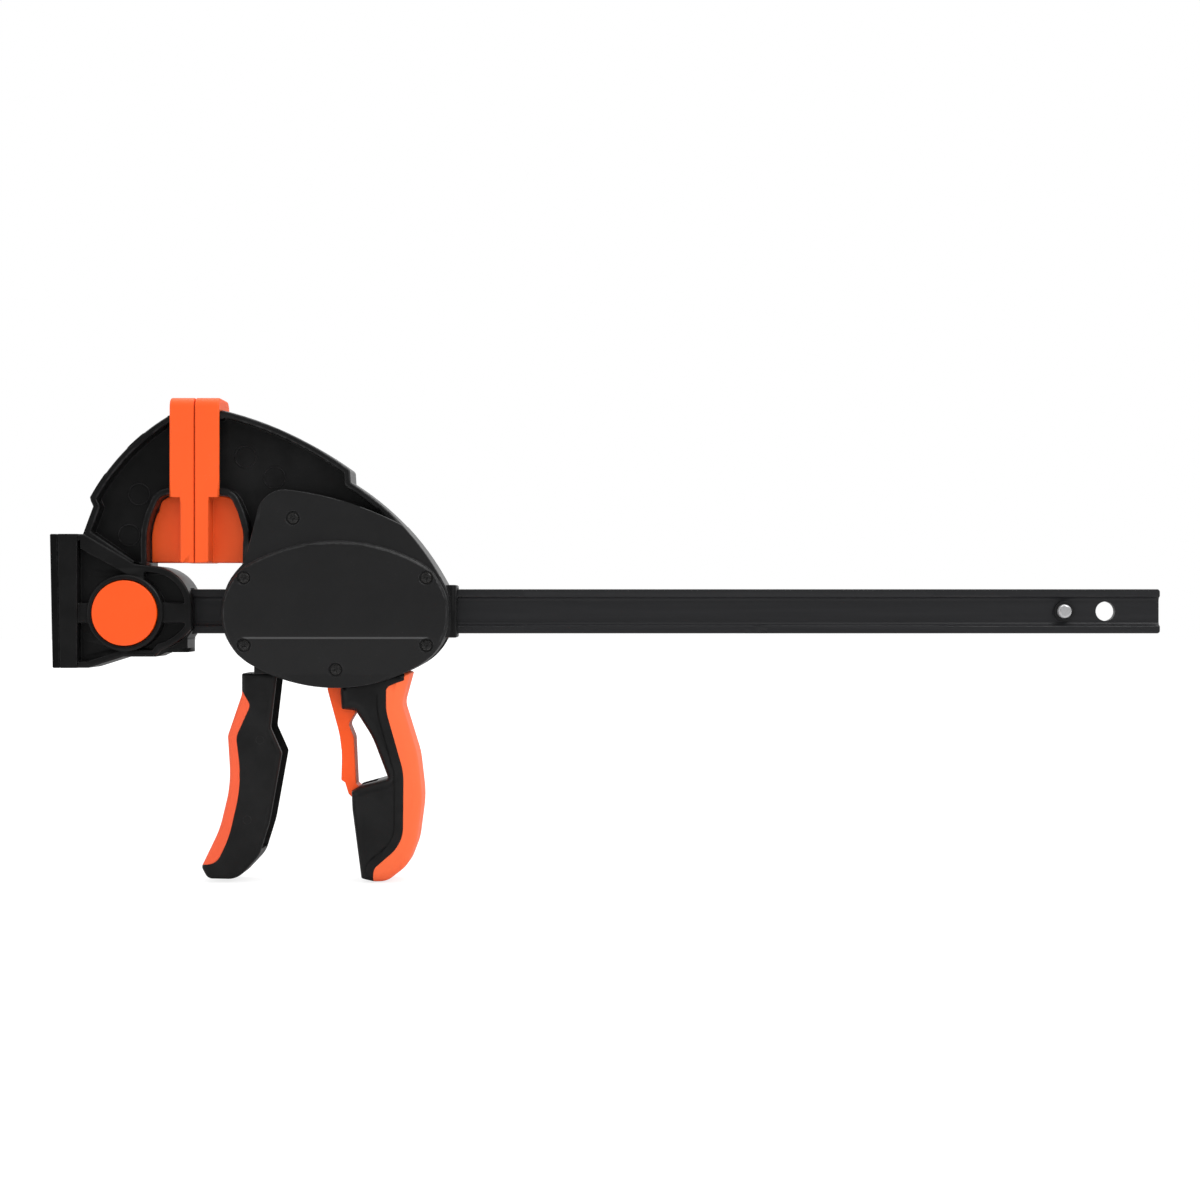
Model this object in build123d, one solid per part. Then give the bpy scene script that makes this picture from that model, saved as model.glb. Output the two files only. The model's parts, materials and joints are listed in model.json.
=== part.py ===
"""Quick release bar clamp, closed, with its jaws up and its handles down.

X runs along the bar to its free end, Y across the clamp (the push button and the screwed cover are on the -Y
side) and Z up. While it is drawn, X = 0 is the plane where the closed pads meet and Z = 0 is the bar's centre
line. On export everything is lowered, so that the origin is the middle of the closed pads' faces.
"""

import os

from build123d import *

# ---- driving dimensions, millimetres and degrees ----

# bar: rolled steel, I-shaped in section
bar_length = 540.0
bar_height = 22.0
bar_width = 9.0
bar_web = 4.5
bar_flange = 3.6
bar_corner = 1.4
bar_root = 2.0
hang_hole_radius = 4.85
hang_hole_to_end = 26.6
stop_pin_radius = 3.4
stop_pin_to_end = 47.6
stop_pin_reach = 6.4
stop_pin_collar = 5.0

# soft pads, one on each jaw
pad_gap = 0.4
pad_width = 28.0
pad_plate = 6.8
pad_wrap = 12.3
pad_top = 105.7
pad_knee = 56.4
pad_foot = 24.1
pad_cap = 7.2
pad_web = 6.2
pad_belly = 23.4
pad_clearance = 0.3
pad_corner = 5.0
pad_top_round = 1.0

# arms of both jaws: a web with a rim all round
arm_width = 25.0
arm_web = 7.0
arm_rim = 3.2
ejector_mark_radius = 5.7
ejector_mark_depth = 0.5
ejector_mark_line = 0.8

# fixed jaw: the base that holds the bar's end
base_top = 38.2
base_bottom = -27.9
socket_end_x = -1.5
socket_width = 27.0
socket_edge_round = 1.2
socket_heel = 2.7
socket_heel_width = 19.0
base_rib = 9.6
socket_floor = 8.0
end_flange = 9.8
end_flange_width = 30.0
end_pad_thickness = 3.7
end_face_x = -71.0
end_face_lean = 1.3
bar_clearance = 0.3
lock_x = -34.1
lock_z = -0.8
lock_to_bar_end = 27.0
lock_pin_radius = 3.5
lock_neck_radius = 1.9
lock_clearance = 0.1
button_radius = 16.1
button_thickness = 3.4
button_front = 16.4
button_clearance = 0.3
boss_radius = 19.0
boss_round = 1.4
boss_front = 15.2
clip_thickness = 0.9
clip_radius = 6.0
clip_groove_depth = 0.7
button_spring_radius = 6.6
button_spring_wire = 0.9
button_spring_turns = 3

# moving jaw: the crest and the back of its outline
throat_corner = (24.2, 23.1)
crest_rise = 1.4
crest_end = (76.6, 70.0)
back_start = (77.0, 63.9)
back_end = (124.0, 12.4)

# moving jaw: the housing round the mechanism
housing_centre_x = 70.0
housing_half_length = 56.0
housing_end_radius = 31.0
housing_bottom = 37.7
panel_top = 34.6
panel_half_width = 19.0
shoulder_half_width = 16.6
cover_step = 0.5
cover_joint = 0.05
wall = 2.8
panel_chamfer = 1.3
fold_z = -13.0
fold_drop = 3.4
collar_x = 129.1
collar_height = 26.2
collar_width = 15.0
guide_length = 7.0
shoulder_screw = (49.0, 45.9)
screw_end_inset = 11.2
screw_end_height = 16.6
screw_floor_inset = 9.1
screw_head_radius = 3.0
screw_pocket_radius = 3.4
screw_pocket_depth = 1.4
screw_shank_radius = 1.5
screw_depth = 5.6
screw_post_wall = 2.2

# squeeze lever
pivot_inset = 22.4
pivot_z = 16.5
pivot_pin_radius = 4.0
lever_eye_radius = 7.2
lever_width = 25.2
lever_cheek = 2.8
nose_radius = 8.4
lever_round = 2.6
lever_front_wall = 6.6
lever_rib_recess = 6.5
lever_rib_heights = (-58.0, -78.0, -98.0)
lever_rib_thickness = 2.0
lever_channel_foot = -118.0
lever_window_front = 8.8
lever_window_back = 22.1

# drive plates and their spring
plate_count = 3
plate_thickness = 2.5
plate_width = 25.0
plate_height = 36.0
plate_clearance = 0.4
spring_wire = 1.6
spring_radius = 13.2
spring_turns = 5
seat_x = 66.6
seat_thickness = 2.8

# brake plate, its spring and the release trigger
brake_x = 80.6
brake_z = 23.0
brake_thickness = 4.0
brake_tilt = 8.0
brake_clearance = 0.9
brake_foot_z = -33.0
brake_width = 20.0
brake_foot_width = 12.0
brake_shoulder_z = -19.0
brake_notch_wall = 3.5
brake_notch_play = 0.5
brake_spring_x = 84.4
brake_seat_x = 100.0
trigger_pivot_x = 82.5
trigger_pivot_z = -94.0
trigger_width = 12.6
trigger_pin_radius = 2.0
trigger_eye_radius = 4.0
trigger_slot = 0.7

# pistol grip
grip_width = 29.0
grip_spine_width = 19.0
grip_skin = 3.0
grip_back_round = 5.0
seam_groove_inset = 3.9
seam_groove_width = 0.9
seam_groove_depth = 0.6

# shared small sizes
running = 0.05
touch = 0.3

# ---- places worked out from the sizes above ----

pad_face = pad_gap / 2
pad_middle_z = (pad_top + pad_foot) / 2
bar_start = lock_x - lock_to_bar_end
bar_end = bar_start + bar_length
arm_front = pad_face + pad_plate + pad_clearance
arm_top = pad_top - pad_cap - pad_clearance
end_flange_x = end_face_x + end_pad_thickness
cover_seat = arm_width / 2 + cover_step
housing_left = housing_centre_x - housing_half_length
housing_right = housing_centre_x + housing_half_length
pivot_x = housing_left + pivot_inset
plates_x = pivot_x + nose_radius + touch
plates_end = plates_x + plate_count * plate_thickness
bar_hole_height = bar_height + 2 * bar_clearance
bar_hole_width = bar_width + 2 * bar_clearance
button_back = button_front - button_thickness
button_spring_floor = bar_hole_width / 2 + 1.4
clip_y = socket_floor + running
pin_far_end = clip_y + clip_thickness + 0.8
cavity_half_width = shoulder_half_width - wall
oval_cavity_half_width = panel_half_width - wall


# ---- drawing helpers ----


def outline(*runs):
    """A closed face. Its edge is a chain of runs: two points make a line, three an arc, a path stays."""
    edges = []
    for run in runs:
        if isinstance(run, Wire):
            edges.extend(run.edges())
        elif len(run) == 2:
            edges.append(Line(*run))
        else:
            edges.append(ThreePointArc(*run))
    return make_face(edges)


def rounded(*corners):
    """A closed face with straight sides. Each corner is its place and its radius."""
    places = [(x, z) for x, z, radius in corners]
    radii = [radius for x, z, radius in corners]
    return make_face(FilletPolyline(*places, radius=radii, close=True))


def polygon(*points):
    """A closed face with straight sides."""
    return make_face(Polyline(*points, close=True))


def disc(x, z, radius):
    """A round face in the side view."""
    return Pos(x, z) * Circle(radius)


def block_face(x_low, x_high, z_low, z_high):
    """A rectangular face in the side view."""
    return Pos((x_low + x_high) / 2, (z_low + z_high) / 2) * Rectangle(x_high - x_low, z_high - z_low)


def inset(face, amount, corners=Kind.ARC):
    """The same face, smaller by amount all round."""
    return offset(face, amount=-amount, kind=corners)


def slab(face, y_near, y_far):
    """A side-view face made solid from y_near to y_far."""
    return extrude(Plane.XZ.offset(-y_far) * face, amount=y_far - y_near)


def centred(face, width):
    """A side-view face made solid, as wide as given, half each side of the bar."""
    return slab(face, -width / 2, width / 2)


def moulded(face, width, edge_round):
    """A side-view face made solid about the middle plane, with the edges of both its sides rounded."""
    solid = centred(face, width)
    rims = solid.edges().filter_by(lambda edge: abs(abs(edge.center().Y) - width / 2) < 0.01)
    return fillet(rims, edge_round)


def both_sides(face, y_inner, y_outer):
    """Two slabs of one face, mirrored about the middle plane."""
    return slab(face, -y_outer, -y_inner) + slab(face, y_inner, y_outer)


def ejector_mark(x, z):
    """The shallow rings that the mould's ejector pins leave on both faces of an arm's web."""
    ring = disc(x, z, ejector_mark_radius) - disc(x, z, ejector_mark_radius - ejector_mark_line)
    return both_sides(ring, arm_web / 2 - ejector_mark_depth, arm_web / 2)


def bar_tunnel(x_low, x_high):
    """The space that the bar slides through."""
    return centred(block_face(x_low, x_high, -bar_hole_height / 2, bar_hole_height / 2), bar_hole_width)


def coil(x_low, x_high, radius, wire, turns):
    """A helical spring along X, centred on the bar."""
    length = x_high - x_low - wire
    path = Helix(pitch=length / turns, height=length, radius=radius)
    section = Plane(origin=path @ 0, z_dir=path % 0) * Circle(wire / 2)
    spring = sweep(section, path=path, is_frenet=True)
    return Pos(x_low + wire / 2, 0, 0) * Rot(0, 90, 0) * spring


def belly(clear, side=1):
    """Where a jaw's arm bends round the pad's lower part, from its foot up to its knee."""
    widest = pad_belly + clear
    bend_z = pad_foot + 0.57 * (pad_knee - pad_foot)
    return FilletPolyline(
        (side * widest, pad_foot),
        (side * (widest + 0.2), bend_z),
        (side * (widest - 6.2), pad_knee + 0.2 + clear / 2),
        (side * (pad_wrap - 0.2), pad_knee + 1.2 + clear),
        radius=[36, 6],
    )


# ---- bar ----


def make_bar():
    length_face = block_face(bar_start, bar_end, -bar_height / 2, bar_height / 2)
    length_face = fillet(length_face.vertices(), bar_corner)
    bar = centred(length_face, bar_width)
    hollow_half = bar_height / 2 - bar_flange
    taper = (bar_width - bar_web) / 4
    for sign in (-1, 1):
        hollow = Plane.YZ.offset(bar_start - 1) * rounded(
            (sign * bar_width / 2, hollow_half, 0),
            (sign * bar_web / 2, hollow_half - taper, bar_root),
            (sign * bar_web / 2, taper - hollow_half, bar_root),
            (sign * bar_width / 2, -hollow_half, 0),
        )
        bar -= extrude(hollow, amount=bar_length + 2)
    bar -= centred(disc(bar_end - hang_hole_to_end, 0, hang_hole_radius), 2 * bar_width)
    bar -= centred(disc(bar_end - stop_pin_to_end, 0, stop_pin_radius), 2 * bar_width)
    keyhole = disc(lock_x, lock_z, lock_pin_radius + 2 * lock_clearance)
    keyway_half = lock_neck_radius + 2 * lock_clearance
    keyhole += block_face(bar_start - 1, lock_x, lock_z - keyway_half, lock_z + keyway_half)
    return bar - centred(keyhole, 2 * bar_width)


def make_stop_pin():
    x = bar_end - stop_pin_to_end
    pin = centred(disc(x, 0, stop_pin_radius), 2 * stop_pin_reach)
    pin = fillet(pin.edges().filter_by(GeomType.CIRCLE), 1.2)
    collar = both_sides(disc(x, 0, stop_pin_collar), bar_web / 2, bar_width / 2 - 0.6)
    return pin + collar


# ---- soft pads ----


def make_pad():
    """The moving jaw's pad. The fixed jaw's is its mirror image."""
    plate = centred(block_face(pad_face, pad_face + pad_plate, pad_foot, pad_top), pad_width)
    head = centred(block_face(pad_face, pad_wrap, pad_knee, pad_top), pad_width)
    pad = plate + head
    pad = fillet(pad.edges().filter_by(Axis.X).group_by(Axis.Z)[-1], pad_corner)
    back_of_top = pad.edges().filter_by(Axis.Y).group_by(Axis.Z)[-1].sort_by(Axis.X)[-1]
    pad = fillet(back_of_top, pad_top_round)
    arm_slot = block_face(arm_front - pad_clearance, pad_wrap + 1, pad_knee - 1, pad_top - pad_cap)
    pad -= centred(arm_slot, arm_width + 2 * pad_clearance)
    edge = belly(0)
    foot, knee = edge @ 0, edge @ 1
    plate_back = pad_face + pad_plate
    web = outline(
        edge,
        (knee, (plate_back, knee.Y)),
        ((plate_back, knee.Y), (plate_back, foot.Y)),
        ((plate_back, foot.Y), foot),
    )
    pad += centred(web, pad_web)
    outer = pad.edges().filter_by(Axis.Z).filter_by_position(
        Axis.Y, -pad_width / 2 - 0.01, -pad_width / 2 + 0.01
    ) + pad.edges().filter_by(Axis.Z).filter_by_position(Axis.Y, pad_width / 2 - 0.01, pad_width / 2 + 0.01)
    return chamfer(outer.filter_by_position(Axis.X, pad_face - 0.1, pad_face + 0.1), 0.5)


# ---- fixed jaw ----


def fixed_arm_face():
    edge = belly(pad_clearance, -1)
    foot, knee = edge @ 0, edge @ 1
    front = (-arm_front, knee.Y)
    crest_start = (-pad_wrap - 0.9, arm_top - 1.6)
    return outline(
        edge,
        (knee, front),
        (front, (-arm_front, arm_top)),
        ((-arm_front, arm_top), crest_start),
        (crest_start, (-35.8, 78.4), (-51.7, 56.4)),
        ((-51.7, 56.4), (-51.6, 54.6)),
        ((-51.6, 54.6), (-50.2, 51.6)),
        ((-50.2, 51.6), (-55.2, 38.2)),
        ((-55.2, 38.2), (-30.0, 21.0)),
        ((-30.0, 21.0), (foot.X, 21.0)),
        ((foot.X, 21.0), foot),
    )


def fixed_base_face():
    lean_foot = end_flange_x + end_face_lean
    return outline(
        ((end_flange_x, base_top), (-54.4, base_top)),
        ((-54.4, base_top), (-29.2, 23.4)),
        ((-29.2, 23.4), (-19.6, 22.3)),
        ((-19.6, 22.3), (-6.9, 16.0), (socket_end_x, 1.0)),
        ((socket_end_x, 1.0), (socket_end_x, -9.0)),
        ((socket_end_x, -9.0), (socket_end_x - socket_heel, -13.0)),
        ((socket_end_x - socket_heel, -13.0), (socket_end_x - socket_heel, -20.3)),
        ((socket_end_x - socket_heel, -20.3), (-14.5, -20.3)),
        ((-14.5, -20.3), (-19.4, -22.4)),
        ((-19.4, -22.4), (-35.0, -22.4)),
        ((-35.0, -22.4), (-52.5, base_bottom)),
        ((-52.5, base_bottom), (lean_foot, base_bottom)),
        ((lean_foot, base_bottom), (end_flange_x, base_top)),
    )


def fixed_side_face():
    """The outer layers of the base: its end is round, so the lower corner below the bar is set back."""
    corner = outline(
        ((1.0, -4.0), (-6.5, -13.6), (-16.4, -19.0)),
        ((-16.4, -19.0), (-19.4, -22.4)),
        ((-19.4, -22.4), (1.0, -22.4)),
        ((1.0, -22.4), (1.0, -4.0)),
    )
    return fixed_base_face() - corner


def make_fixed_jaw():
    arm = fixed_arm_face()
    base = fixed_base_face()
    side = fixed_side_face()
    jaw = centred(arm, arm_width) + moulded(side, socket_width, socket_edge_round)
    jaw += centred(base, socket_heel_width)
    flange = base & block_face(end_face_x, end_flange_x + end_flange, base_bottom, base_top)
    jaw += centred(flange, end_flange_width)

    brace = polygon((-56.5, 31.0), (-56.5, 41.0), (-25.0, 24.0), (-25.0, 14.0))
    rib = block_face(end_flange_x, socket_end_x, lock_z - base_rib / 2, lock_z + base_rib / 2)
    pockets = inset(side, arm_rim, Kind.INTERSECTION) - brace - rib
    pockets -= block_face(end_face_x, end_flange_x + end_flange, base_bottom, base_top)
    jaw -= both_sides(pockets, socket_floor, end_flange_width)
    jaw -= both_sides(inset(arm, arm_rim) - base, arm_web / 2, end_flange_width)
    boss = centred(disc(lock_x, lock_z, boss_radius), 2 * boss_front)
    jaw += fillet(boss.edges().filter_by(GeomType.CIRCLE), boss_round)

    jaw -= bar_tunnel(bar_start - bar_clearance, socket_end_x + 1)
    button_well = disc(lock_x, lock_z, button_radius + button_clearance)
    jaw -= slab(button_well, -end_flange_width, -socket_floor)
    jaw -= slab(button_well, socket_floor, end_flange_width)
    spring_well = disc(lock_x, lock_z, button_spring_radius + 1.4)
    jaw -= slab(spring_well, -end_flange_width, -button_spring_floor)
    jaw -= centred(disc(lock_x, lock_z, lock_pin_radius + lock_clearance), end_flange_width)
    for x, z in ((-29.5, 58.4), (-34.5, 38.0)):
        jaw -= ejector_mark(x, z)
    return jaw


def make_end_pad():
    lean = end_face_lean
    face = polygon(
        (end_face_x, base_top),
        (end_flange_x, base_top),
        (end_flange_x + lean, base_bottom),
        (end_face_x + lean, base_bottom),
    )
    return centred(face, end_flange_width)


# ---- push button, lock pin and their spring ----


def make_push_button():
    face = disc(lock_x, lock_z, button_radius)
    button = slab(face, -button_front, -button_back)
    rim = button.edges().filter_by(GeomType.CIRCLE).sort_by(Axis.Y)[0]
    button = fillet(rim, 0.9)
    return button - slab(disc(lock_x, lock_z, lock_pin_radius), -button_back - 1.2, 0)


def make_lock_pin():
    neck_length = bar_web + 0.3
    neck_end = -bar_web / 2 - 0.2
    thick = disc(lock_x, lock_z, lock_pin_radius)
    pin = slab(thick, -button_back - 1.2, neck_end - neck_length)
    pin += slab(disc(lock_x, lock_z, lock_neck_radius), neck_end - neck_length, neck_end)
    pin += slab(thick, neck_end, pin_far_end)
    clip_groove = thick - disc(lock_x, lock_z, lock_pin_radius - clip_groove_depth)
    return pin - slab(clip_groove, clip_y, clip_y + clip_thickness)


def make_lock_clip():
    ring = disc(lock_x, lock_z, clip_radius) - disc(lock_x, lock_z, lock_pin_radius - clip_groove_depth)
    ring -= block_face(lock_x, lock_x + clip_radius + 1, lock_z - 1.6, lock_z + 1.6)
    return slab(ring, clip_y, clip_y + clip_thickness)


def make_button_spring():
    length = button_back - button_spring_floor
    spring = coil(0, length, button_spring_radius, button_spring_wire, button_spring_turns)
    return Pos(lock_x, -button_spring_floor, lock_z) * Rot(0, 0, -90) * spring


# ---- moving jaw ----


def oval_points():
    """Where the oval's end circles meet its flatter lower flank, left and right."""
    reach = housing_half_length - housing_end_radius
    flank = (reach**2 + housing_bottom**2 - housing_end_radius**2) / (2 * (housing_bottom - housing_end_radius))
    scale = housing_end_radius / (flank - housing_end_radius)
    dx = reach * (1 + scale)
    dz = (housing_bottom - flank) * scale
    return (housing_centre_x - dx, dz), (housing_centre_x + dx, dz)


def oval_face():
    """The raised panel of the housing."""
    low_left, low_right = oval_points()
    high_left = (low_left[0], -low_left[1] * panel_top / housing_bottom)
    high_right = (low_right[0], high_left[1])
    return outline(
        (low_left, (housing_centre_x, -housing_bottom), low_right),
        (low_right, (housing_right, 0), high_right),
        (high_right, (housing_centre_x, panel_top), high_left),
        (high_left, (housing_left, 0), low_left),
    )


def moving_jaw_face():
    """The whole side outline of the moving jaw, arm and housing together."""
    low_left, low_right = oval_points()
    edge = belly(pad_clearance)
    foot, knee = edge @ 0, edge @ 1
    front = (arm_front, knee.Y)
    behind_cap = (pad_wrap + pad_clearance, arm_top)
    crest_start = (pad_wrap + 2 * pad_clearance, arm_top + crest_rise)
    return outline(
        (throat_corner, foot),
        edge,
        (knee, front),
        (front, (arm_front, arm_top)),
        ((arm_front, arm_top), behind_cap),
        (behind_cap, crest_start),
        (crest_start, (44.6, 88.8), crest_end),
        (crest_end, back_start),
        (back_start, (103.4, 41.9), back_end),
        (back_end, (housing_right, 0), low_right),
        (low_right, (housing_centre_x, -housing_bottom), low_left),
        (low_left, (housing_left, 0), throat_corner),
    )


def shoulder_face():
    """The part of the moving jaw that the cover hides: the oval and the shoulder above it."""
    region = outline(
        ((-20, -80), (-20, 18)),
        ((-20, 18), (throat_corner[0] + 0.8, throat_corner[1] + 0.6)),
        ((throat_corner[0] + 0.8, throat_corner[1] + 0.6), (31.2, 47.5)),
        ((31.2, 47.5), (35.4, 56.2), (45.5, 60.0)),
        ((45.5, 60.0), (74.8, 54.0), (103.0, 42.4)),
        ((103.0, 42.4), (160, 42.4)),
        ((160, 42.4), (160, -80)),
        ((160, -80), (-20, -80)),
    )
    return moving_jaw_face() & region


def screw_places():
    """The shoulder's screw, the four at the housing's ends and the one in its floor, as x and z."""
    ends = [
        (housing_centre_x + end * (housing_half_length - screw_end_inset), height * screw_end_height)
        for height in (1, -1)
        for end in (-1, 1)
    ]
    return [shoulder_screw, *ends, (housing_centre_x, screw_floor_inset - housing_bottom)]


def screw_seat(x, z):
    """How far out the cover's surface is at a screw: lower on the shoulder and on the folded-back foot."""
    if z > panel_top:
        return shoulder_half_width
    if z < fold_z:
        return panel_half_width - fold_drop * (fold_z - z) / (housing_bottom + fold_z)
    return panel_half_width


def fold_wedge(sign):
    """What the folded-back foot of the panel leaves out, on the near (-1) or far (+1) side."""
    wedge = polygon(
        (sign * panel_half_width, fold_z),
        (sign * (panel_half_width + 6), fold_z),
        (sign * (panel_half_width + 6), -housing_bottom - 4),
        (sign * (panel_half_width - fold_drop * (housing_bottom + 4 + fold_z) / (housing_bottom + fold_z)),
         -housing_bottom - 4),
    )
    return extrude(Plane.YZ.offset(housing_left - 5) * wedge, amount=2 * housing_half_length + 10)


def panel_shape(y_inner, sign):
    """The side of the housing outside y_inner: a shoulder with the raised oval on it."""
    shoulder = shoulder_face()
    low, high = sorted((sign * y_inner, sign * shoulder_half_width))
    side = slab(shoulder, low, high)
    low, high = sorted((sign * y_inner, sign * panel_half_width))
    raised = slab(oval_face(), low, high)
    outer_face = raised.faces().sort_by(Axis.Y)[-1 if sign > 0 else 0]
    raised = chamfer(outer_face.edges(), panel_chamfer)
    return side + (raised - fold_wedge(sign))


def cavity_face():
    return inset(shoulder_face(), wall)


def deep_cavity_face():
    """The deeper hollow behind the raised oval, above the folded-back foot of the panel."""
    above_fold = block_face(housing_left - 5, housing_right + 5, fold_z, panel_top + 5)
    return inset(oval_face(), wall + 0.4) & above_fold


def cavity_depth(z):
    """How far from the middle the hollow's side wall is, at a height."""
    return oval_cavity_half_width if fold_z < z < panel_top else cavity_half_width


def grip_face():
    """The pistol grip from the side, soft back included, from inside the housing down to its foot."""
    return rounded(
        (71.6, -28.0, 0),
        (71.6, -40.0, 4),
        (72.2, -48.3, 0.8),
        (79.2, -49.2, 1.5),
        (87.5, -62.2, 40),
        (95.2, -82.4, 0.8),
        (81.0, -86.3, 2),
        (77.1, -88.9, 1),
        (77.5, -98.0, 20),
        (82.0, -132.2, 1.2),
        (88.2, -133.7, 8),
        (94.8, -133.5, 10),
        (105.0, -125.6, 14),
        (109.6, -113.5, 25),
        (112.4, -92.0, 50),
        (109.9, -70.5, 40),
        (102.2, -45.6, 9),
        (106.3, -30.6, 0),
        (99.0, -28.0, 0),
    )


def grip_back_region():
    """Everything behind the seam between the grip's hard core and its soft back."""
    return rounded(
        (103.5, -33.9, 0),
        (94.5, -37.3, 3.5),
        (94.7, -49.5, 20),
        (103.2, -79.5, 30),
        (102.9, -114.5, 18),
        (88.5, -126.9, 5),
        (87.7, -140.0, 0),
        (130.0, -140.0, 0),
        (130.0, -20.0, 0),
        (103.5, -20.0, 0),
    )


def make_grip_solid():
    """The whole grip, core and soft back together, with its back edges rounded for the palm."""
    grip = centred(grip_face(), grip_width)
    back_edges = grip.edges().filter_by(
        lambda edge: abs(edge.center().Y) > grip_width / 2 - 0.1
        and (edge.center().X > 101.9 or (edge.center().X > 84.0 and edge.center().Z < -118.0))
    )
    return fillet(back_edges, grip_back_round) - centred(oval_face(), 2 * grip_width)


def seam_groove():
    """A shallow line on both faces of the grip's core that follows the seam with the soft back."""
    inner, outer = seam_groove_inset, seam_groove_inset + seam_groove_width
    line = offset(grip_back_region(), amount=outer) - offset(grip_back_region(), amount=inner)
    line &= inset(grip_face(), seam_groove_width) & block_face(70, 130, -140, -housing_bottom - 3)
    return both_sides(line, grip_width / 2 - seam_groove_depth, grip_width)


def grip_spine():
    """The part of the core that runs on under the soft back."""
    inner = inset(grip_face(), grip_skin) & grip_back_region()
    return centred(inner & block_face(80, 130, -140, -housing_bottom - 1), grip_spine_width)


def make_jaw_body():
    whole = moving_jaw_face()
    shoulder = shoulder_face()
    body = centred(whole, arm_width)
    body -= both_sides(inset(whole, arm_rim) - shoulder, arm_web / 2, arm_width)
    body += slab(shoulder, -cover_seat, cover_seat) + panel_shape(cover_seat - 1, 1)
    for x, z in ((23.5, 77.0), (38.0, 66.6)):
        body -= ejector_mark(x, z)

    body += make_collar()
    body += make_grip_solid() - centred(grip_back_region(), 2 * grip_width) - seam_groove()
    body += grip_spine()

    body -= slab(cavity_face(), -cover_seat - 1, cavity_half_width)
    body -= slab(deep_cavity_face(), 0, oval_cavity_half_width)
    body += make_inner_ribs()
    body -= bar_tunnel(housing_left - 5, collar_x + 5)
    body -= lever_window()
    body -= trigger_slots()
    body -= slab(disc(pivot_x, pivot_z, pivot_pin_radius + running), -cover_seat - 1, panel_half_width - 2)
    body -= slab(disc(trigger_pivot_x, trigger_pivot_z, trigger_pin_radius + running), -grip_width / 2 + 2,
                 grip_width)
    for x, z in screw_places():
        body -= slab(disc(x, z, screw_shank_radius), -cover_seat - 1, -cover_seat + screw_depth + 0.2)
    return body


def make_collar():
    """The snout that the bar leaves by, at the back of the housing."""
    face = block_face(housing_right - 8, collar_x, -collar_height / 2, collar_height / 2)
    collar = centred(face, collar_width)
    return fillet(collar.faces().sort_by(Axis.X)[-1].edges(), 1.2)


def make_inner_ribs():
    """Guides for the bar, spring seats, the brake plate's notch, the pivot boss and the screw posts."""
    notch_in = brake_thickness / 2 + brake_notch_play
    notch_out = notch_in + brake_notch_wall
    notch_roof = brake_z + brake_thickness / 2 + touch
    notch_top = notch_roof + brake_notch_wall
    faces = [
        block_face(housing_left + 1.5, housing_left + guide_length, -15, 15),
        block_face(housing_right - guide_length - 6, housing_right - 2, -15, 15),
        block_face(seat_x, seat_x + seat_thickness, -16, panel_top - 2),
        block_face(brake_seat_x, brake_seat_x + seat_thickness, -16, panel_top - 3),
        block_face(brake_x - notch_out, brake_x + notch_out, notch_roof, notch_top),
        block_face(brake_x - notch_out, brake_x - notch_in, brake_z - 1, notch_top),
        block_face(brake_x + notch_in, brake_x + notch_out, brake_z - 1, notch_top),
    ]
    inside = inset(oval_face(), wall / 2)
    ribs = slab(faces[0] & inside, -cover_seat, oval_cavity_half_width + 1)
    for face in faces[1:]:
        ribs += slab(face & inside, -cover_seat, oval_cavity_half_width + 1)
    ribs += slab(disc(pivot_x, pivot_z, lever_eye_radius), lever_width / 2 + touch, panel_half_width - 1)
    for x, z in screw_places():
        post = disc(x, z, screw_shank_radius + screw_post_wall) & inset(shoulder_face(), 0.5)
        ribs += slab(post, -cover_seat, cavity_depth(z) + 1)
    x, z = screw_places()[-1]
    floor_rib = block_face(x - screw_shank_radius, x + screw_shank_radius, -housing_bottom + 1, z)
    return ribs + slab(floor_rib, -cover_seat, cavity_depth(z))


def lever_window():
    """The gap in the floor of the housing that the lever swings in."""
    face = block_face(pivot_x - lever_window_front, pivot_x + lever_window_back, -housing_bottom - 5, -14.0)
    return centred(face, lever_width + 1.4)


def trigger_slots():
    """The slot in the neck and the slot in the grip's block that the release trigger runs in."""
    width = trigger_width + 2 * trigger_slot
    neck = block_face(62.5, 89.0, -57.5, -23.5)
    foot = block_face(76.0, 90.0, -99.5, -84.0)
    return centred(neck, width) + centred(foot, width)


def make_housing_cover():
    cover = panel_shape(cover_seat + cover_joint, -1)
    cover -= slab(deep_cavity_face(), -oval_cavity_half_width, 0)
    posts = slab(disc(pivot_x, pivot_z, lever_eye_radius), -panel_half_width + 1.5, -lever_width / 2 - touch)
    for x, z in screw_places():
        post = disc(x, z, screw_shank_radius + screw_post_wall) & inset(shoulder_face(), 0.5)
        posts += slab(post, -cavity_depth(z) - 0.5, -cover_seat - cover_joint)
    cover += posts
    cover -= slab(disc(pivot_x, pivot_z, pivot_pin_radius + running), -panel_half_width + 2, 0)
    for x, z in screw_places():
        seat = screw_seat(x, z)
        cover -= slab(disc(x, z, screw_pocket_radius), -panel_half_width - 1, -seat + screw_pocket_depth)
        cover -= slab(disc(x, z, screw_shank_radius + 0.1), -panel_half_width, 0)
    return cover


def make_cover_screws():
    """Pan-head screws with a cross recess, one solid each."""
    screws = []
    for x, z in screw_places():
        top = -screw_seat(x, z) + screw_pocket_depth
        head = slab(disc(x, z, screw_head_radius), top - 1.1, top)
        head = fillet(head.edges().filter_by(GeomType.CIRCLE).sort_by(Axis.Y)[0], 0.6)
        cross = block_face(x - 1.6, x + 1.6, z - 0.3, z + 0.3) + block_face(x - 0.3, x + 0.3, z - 1.6, z + 1.6)
        head -= slab(cross, top - 2, top - 0.4)
        screws.append(head + slab(disc(x, z, screw_shank_radius), top, -cover_seat + screw_depth))
    return screws


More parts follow.
